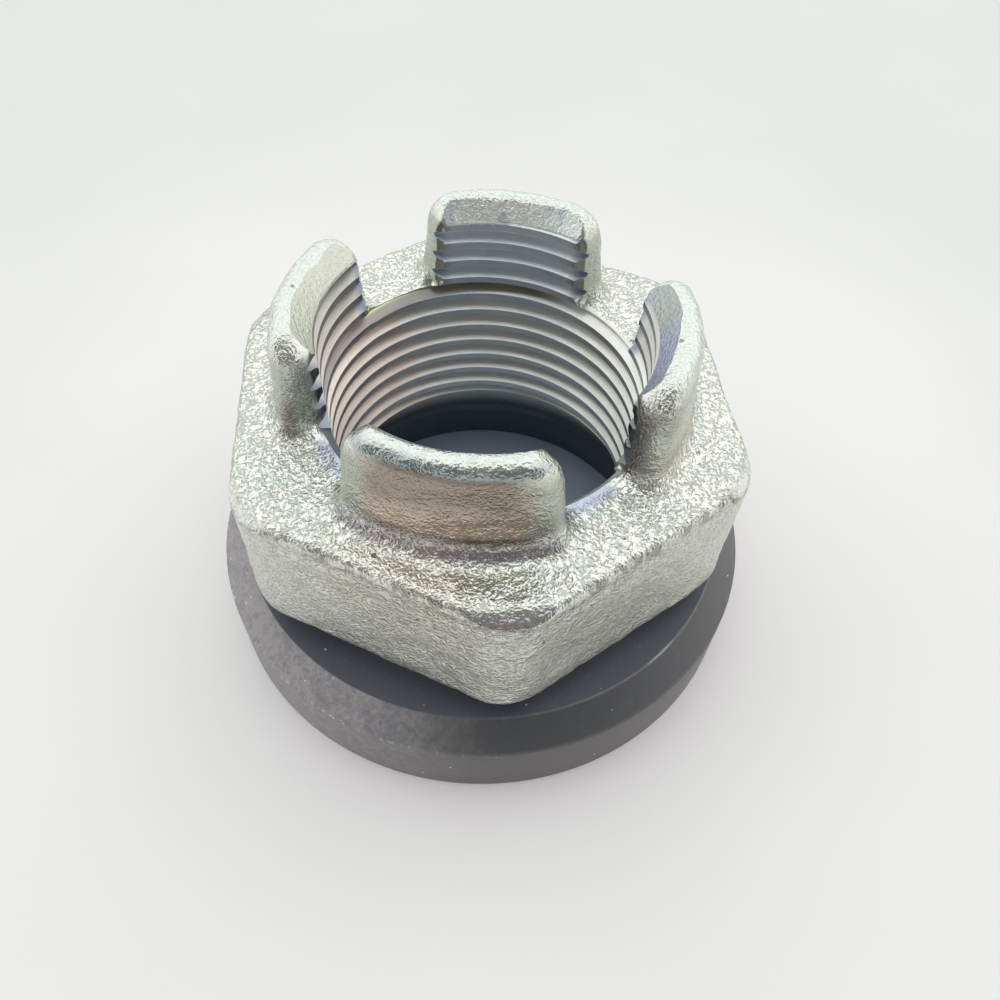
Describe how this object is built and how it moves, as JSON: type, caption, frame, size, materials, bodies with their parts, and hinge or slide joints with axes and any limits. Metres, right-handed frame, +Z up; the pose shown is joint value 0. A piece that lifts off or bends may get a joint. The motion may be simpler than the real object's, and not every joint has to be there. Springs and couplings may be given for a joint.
{
  "type": "castellated axle nut with captive washer",
  "caption": "Hexagon axle nut with a tapped bore, a castle crown of upright locking lugs, and a wide thrust washer held on a skirt, free to turn.",
  "frame": {"origin": "centre of the washer's underside, on the thread axis", "axes": "+Z up the thread axis towards the lugs, +X through a corner of the hexagon and a slot between the lugs"},
  "size_m": [0.08, 0.08, 0.0522],
  "materials": {
    "zinc_forging": "forged steel, zinc plated, satin with a coarse grain",
    "phosphated_steel": "turned steel, black phosphated, matt and dusty"
  },
  "bodies": {
    "nut": {"nut": "zinc_forging"},
    "washer": {"thrust_washer": "phosphated_steel"}
  },
  "joints": [
    {"name": "washer_spin", "type": "hinge", "parent": "nut", "child": "washer", "pos_m": [0, 0, 0.007], "axis": [0, 0, 1], "continuous": true}
  ]
}
